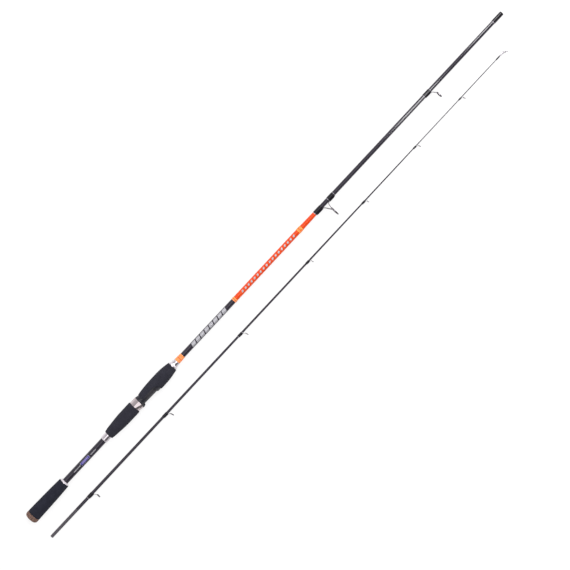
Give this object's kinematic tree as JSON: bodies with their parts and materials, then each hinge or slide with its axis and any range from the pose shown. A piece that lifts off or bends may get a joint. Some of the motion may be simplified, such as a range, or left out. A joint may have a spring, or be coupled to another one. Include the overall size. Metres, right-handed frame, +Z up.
{
  "type": "two-piece spinning rod",
  "caption": "Spinning rod in two sections, laid side by side: split foam handle, screw-locking reel seat, ring guides and a plug-in ferrule. No reel is fitted.",
  "frame": {"origin": "centre of the butt cap's flat end face, on the butt section's axis", "axes": "+X along the butt section towards its ferrule socket, +Z up as the two sections lie, guides of both sections towards -Y"},
  "size_m": [1.2563, 0.0792, 0.0264],
  "materials": {
    "eva_foam": "fine closed-cell foam, matt",
    "rubberised_cork": "speckled cork and rubber composite, matt",
    "silver_anodised": "satin silver",
    "carbon_blank": "varnished carbon fibre, with a red-orange painted stretch",
    "seat_resin": "glossy black moulding",
    "arbor_tape": "wound paper tape",
    "orange_thread": "varnished orange thread",
    "yellow_thread": "varnished yellow-orange thread",
    "varnished_thread": "black thread under clear varnish",
    "ring_ceramic": "polished dark ceramic",
    "bright_steel": "bright stainless steel",
    "guide_steel": "gunmetal-coated stainless steel"
  },
  "bodies": {
    "butt_section": {"butt_cap": "rubberised_cork", "rear_grip": "eva_foam", "rear_winding_check": "silver_anodised", "butt_blank": "carbon_blank", "ferrule_socket": "carbon_blank", "seat_tail_collar": "silver_anodised", "seat_barrel": "seat_resin", "rear_arbor": "arbor_tape", "front_arbor": "arbor_tape", "fixed_hood": "seat_resin", "fore_grip": "eva_foam", "fore_winding_check": "silver_anodised", "handle_band": "orange_thread", "lower_band": "orange_thread", "upper_band": "yellow_thread", "stripper_guide_frame": "guide_steel", "stripper_guide_ring": "ring_ceramic", "stripper_rear_wrap": "varnished_thread", "stripper_front_wrap": "varnished_thread", "guide_2_frame": "guide_steel", "guide_2_ring": "ring_ceramic", "guide_2_wrap": "varnished_thread", "ferrule_wrap": "varnished_thread"},
    "moving_hood": {"moving_hood_shell": "silver_anodised", "moving_hood_liner": "seat_resin"},
    "lock_nut": {"lock_nut_core": "seat_resin", "lock_nut_sleeve": "eva_foam"},
    "tip_section": {"tip_blank": "carbon_blank", "guide_3_frame": "guide_steel", "guide_3_ring": "ring_ceramic", "guide_3_wrap": "varnished_thread", "guide_4_frame": "guide_steel", "guide_4_ring": "ring_ceramic", "guide_4_wrap": "varnished_thread", "guide_5_frame": "guide_steel", "guide_5_ring": "ring_ceramic", "guide_5_wrap": "varnished_thread", "guide_6_frame": "guide_steel", "guide_6_ring": "ring_ceramic", "guide_6_wrap": "varnished_thread", "guide_7_frame": "guide_steel", "guide_7_ring": "ring_ceramic", "guide_7_wrap": "varnished_thread", "guide_8_frame": "guide_steel", "guide_8_ring": "ring_ceramic", "guide_8_wrap": "varnished_thread", "guide_9_frame": "guide_steel", "guide_9_ring": "ring_ceramic", "guide_9_wrap": "varnished_thread", "tip_top_frame": "bright_steel", "tip_top_ring": "ring_ceramic", "tip_top_wrap": "varnished_thread"}
  },
  "joints": [
    {"name": "hood_slide", "type": "slide", "parent": "butt_section", "child": "moving_hood", "axis": [-1, 0, 0], "range_m": [0, 0.02]},
    {"name": "nut_turn", "type": "hinge", "parent": "moving_hood", "child": "lock_nut", "pos_m": [0.25, 0, 0], "axis": [-1, 0, 0], "range_deg": [0, 2880]},
    {"name": "tip_lift", "type": "slide", "parent": "butt_section", "child": "tip_section", "axis": [0, 0, 1], "range_m": [0, 0.1]}
  ],
  "couplings": [
    {"joint": "hood_slide", "follows": "nut_turn", "m_per_rad": 0.00039789}
  ]
}
